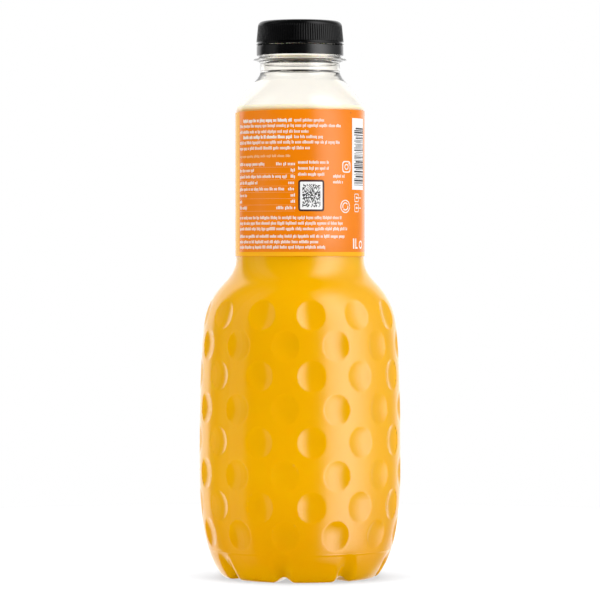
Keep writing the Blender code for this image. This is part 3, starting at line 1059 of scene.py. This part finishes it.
def buildCap(material):
    parts = MeshParts()
    angles = anglesRound(cap["ribs"] * cap["pointsPerRib"])
    side = [turned(angles, radius - ribPress(angles, height), height) for radius, height in capOutside()]
    bottom = parts.add(side[0])
    rim, floor, middle = cap["dishRadii"]
    dish = cap["top"] - cap["dishDepth"]
    top = [turned(angles, *place) for place in ((rim, cap["top"]), (floor, dish), (middle, dish))]
    last = parts.joinOn(bottom, side[1:] + top)
    parts.closeRing(last, (0.0, 0.0, dish))
    roof = parts.joinOn(bottom, [turned(angles, cap["inner"], cap["roof"])])
    parts.closeRing(roof, (0.0, 0.0, cap["roof"]))
    piece = parts.makeObject("screwCap", material, sharpAngle=45)
    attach(piece, "root")
    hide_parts("cap")


def buildBand(material):
    parts = MeshParts()
    angles = anglesRound(band["sides"])
    low, high, radius, inner = band["low"], band["high"], band["radius"], cap["inner"]
    places = [(inner, low)] + [(radius - inward, low + up) for inward, up in band["lowEdge"]]
    places += [(radius - inward, high - down) for inward, down in band["highEdge"]] + [(inner, high)]
    parts.addTube([turned(angles, *place) for place in places])
    half = band["bridgeWidth"] / 2 / radius
    near, far = inner + band["bridgeInset"][0], radius - band["bridgeInset"][1]
    heights = (high - band["bridgeOverlap"], cap["lip"][0][1] + band["bridgeOverlap"])
    for n in range(band["bridges"]):
        middle = band["bridgeTurn"] + math.tau * n / band["bridges"]
        loop = [(middle - half, near), (middle + half, near), (middle + half, far), (middle - half, far)]
        ends = [parts.add([turned(a, r, height) for a, r in loop]) for height in heights]
        parts.joinRings(*ends)
        parts.faces += [tuple(end) for end in ends]
    piece = parts.makeObject("sealBand", material, sharpAngle=45)
    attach(piece, "root")


studio = {
    "floorRadius": 0.45,
    "floorSides": 96,
    "floorHeight": -0.1,      # just under the feet
    "floorWhite": (0.93, 0.93, 0.935, 1.0),
    "floorRoughness": 0.7,
    "floorGloss": 0.1,
    "floorGlow": 0.09,        # as a floor lit from below, which keeps the shadow light
    # brightness of the surroundings, by degrees round from the camera's side towards +X:
    # dark in front, a large soft light at the right, a faint one at the left, and a white back
    "around": ((0, 0.01), (14, 0.03), (20, 0.14), (26, 0.7), (32, 1.8), (40, 2.8), (50, 3.5), (60, 3.5),
               (70, 2.7), (80, 1.85), (90, 1.05), (100, 0.6), (112, 0.4), (127, 0.3), (138, 0.5), (148, 1.1),
               (180, 1.2), (212, 1.2), (226, 1.3), (236, 0.2), (248, 0.08), (262, 0.25), (270, 0.38),
               (290, 0.38), (298, 0.05), (305, 0.01)),
    # and how much of that is left at these degrees above the horizon
    "upwards": ((-48, 0.0), (-24, 1.0), (40, 1.0), (54, 0.8), (63, 0.4), (74, 0.0)),
    "shareOnMatt": 0.70,      # of the surroundings that lights matt things, beside what mirrors in gloss
    # name, place, what it faces, width, height and watts; they don't show in reflections
    "lamps": (
        ("frontFill", (-1.30, -0.78, 0.6), (0.0, 0.0, 0.12), 1.2, 1.2, 13.5),
        ("overhead", (0.0, 0.1, 1.5), (0.0, 0.0, 0.0), 1.6, 1.6, 20.0),
    ),
}


def addBrightness(nodes, links, value, stops):
    # a ramp of greys through (position, brightness) stops
    ramp = nodes.new("ShaderNodeValToRGB")
    while len(ramp.color_ramp.elements) < len(stops):
        ramp.color_ramp.elements.new(0.5)
    for element, (position, bright) in zip(ramp.color_ramp.elements, stops):
        element.position = position
        element.color = (bright, bright, bright, 1.0)
    links.new(value, ramp.inputs["Fac"])
    return ramp.outputs["Color"]


def makeWorld():
    # white to the camera; other rays see the surroundings
    world = bpy.data.worlds.new("studioWorld")
    bpy.context.scene.world = world
    world.use_nodes = True
    nodes, links = world.node_tree.nodes, world.node_tree.links
    direction, turn = nodes.new("ShaderNodeTexCoord"), nodes.new("ShaderNodeTexGradient")
    turn.gradient_type = "RADIAL"
    links.new(direction.outputs["Generated"], turn.inputs["Vector"])
    front = 0.25                 # where the gradient puts -Y
    stops = sorted(((degrees / 360 + front) % 1.0, bright) for degrees, bright in studio["around"])
    around = addBrightness(nodes, links, turn.outputs["Color"], [(0.0, stops[-1][1])] + stops)
    axes, half = nodes.new("ShaderNodeSeparateXYZ"), nodes.new("ShaderNodeMapRange")
    links.new(direction.outputs["Generated"], axes.inputs["Vector"])
    setInputs(half, {"From Min": -1.0, "From Max": 1.0})
    links.new(axes.outputs["Z"], half.inputs["Value"])
    stops = [(0.5 + 0.5 * math.sin(math.radians(degrees)), share) for degrees, share in studio["upwards"]]
    upwards = addBrightness(nodes, links, half.outputs["Result"], stops)
    path, matt = nodes.new("ShaderNodeLightPath"), nodes.new("ShaderNodeMapRange")
    setInputs(matt, {"To Min": 1.0, "To Max": studio["shareOnMatt"]})
    links.new(path.outputs["Is Diffuse Ray"], matt.inputs["Value"])
    strength = nodes.new("ShaderNodeMath")
    strength.operation = "MULTIPLY"
    links.new(matt.outputs["Result"], strength.inputs[0])
    links.new(upwards, strength.inputs[1])
    lit, shown = nodes["Background"], nodes.new("ShaderNodeBackground")
    mix = nodes.new("ShaderNodeMixShader")
    links.new(around, lit.inputs["Color"])
    links.new(strength.outputs["Value"], lit.inputs["Strength"])
    setInputs(shown, {"Color": (1.0, 1.0, 1.0, 1.0)})
    links.new(path.outputs["Is Camera Ray"], mix.inputs["Fac"])
    links.new(lit.outputs["Background"], mix.inputs[1])
    links.new(shown.outputs["Background"], mix.inputs[2])
    links.new(mix.outputs["Shader"], nodes["World Output"].inputs["Surface"])


def makeLamp(name, place, target, width, height, watts):
    data = bpy.data.lights.new(name, "AREA")
    data.shape, data.size, data.size_y, data.energy = "RECTANGLE", width, height, watts
    lamp = bpy.data.objects.new(name, data)
    bpy.context.scene.collection.objects.link(lamp)
    lamp.location = place
    lamp.rotation_euler = (Vector(target) - Vector(place)).to_track_quat("-Z", "Y").to_euler()
    lamp.visible_camera = lamp.visible_glossy = lamp.visible_transmission = False


def makeFloor():
    parts = MeshParts()
    angles, height = anglesRound(studio["floorSides"]), studio["floorHeight"]
    ring = parts.add(turned(angles, studio["floorRadius"] / mm, height))
    parts.closeRing(ring, (0.0, 0.0, height))
    material, shader = newMaterial("paleFloor")
    setInputs(shader, {"Base Color": studio["floorWhite"], "Roughness": studio["floorRoughness"],
                       "Emission Color": studio["floorWhite"], "Emission Strength": studio["floorGlow"],
                       "Specular IOR Level": studio["floorGloss"]})
    floor = parts.makeObject("floor", material)
    floor.visible_glossy = False


view = {
    "distance": 1564.0,       # from the camera to the bottle's axis
    "height": 147.4,          # of the camera, which is the horizon in the photo
    "tiltDown": 0.741,        # degrees
    "lens": 204.0,
    "sensor": 36.0,
}


def makeCamera():
    data = bpy.data.cameras.new("camera")
    data.lens, data.sensor_width = view["lens"], view["sensor"]
    camera = bpy.data.objects.new("camera", data)
    bpy.context.scene.collection.objects.link(camera)
    camera.location = (0.0, -view["distance"] * mm, view["height"] * mm)
    camera.rotation_euler = (math.radians(90 - view["tiltDown"]), 0.0, 0.0)
    bpy.context.scene.camera = camera


bpy.context.scene.view_settings.view_transform = "Standard"
makeCamera()
makeWorld()
for lampValues in studio["lamps"]:
    makeLamp(*lampValues)
makeFloor()
print("stage, camera and lights made")

buildBottle(makeClearPlastic())
print("bottle made")
buildJuice(makeJuice())
print("drink made")
buildLabel(makePlastic("labelFilm", label["finish"], label["orange"], label["orangeWarm"]))
whiteInk = makeInk("whiteInk", ink["white"])
buildSmallPrint(whiteInk)
buildCaptionPrint(makeInk("captionInk", ink["caption"]))
buildSigns(whiteInk)
buildPatternFrame(makeInk("brownInk", ink["brown"]))
buildPanels(makeInk("panelInk", ink["panelWhite"]))
buildDarkPrint(makeInk("darkInk", ink["dark"]))
smooth = label["finish"]["roughness"]
buildYellowField(makeInk("yellowInk", label["yellow"], roughness=smooth, gloss=ink["fieldGloss"]))
buildFarDisc(makeInk("orangeInk", label["orange"], roughness=smooth))
buildFarPale(makeInk("creamInk", farSide["cream"], roughness=smooth))
print("label and print made")
buildCap(makeBlackPlastic("ribbedPlastic", cap["finish"]["gloss"]))
buildBand(makeBlackPlastic("bandPlastic", band["gloss"]))
print("cap made")
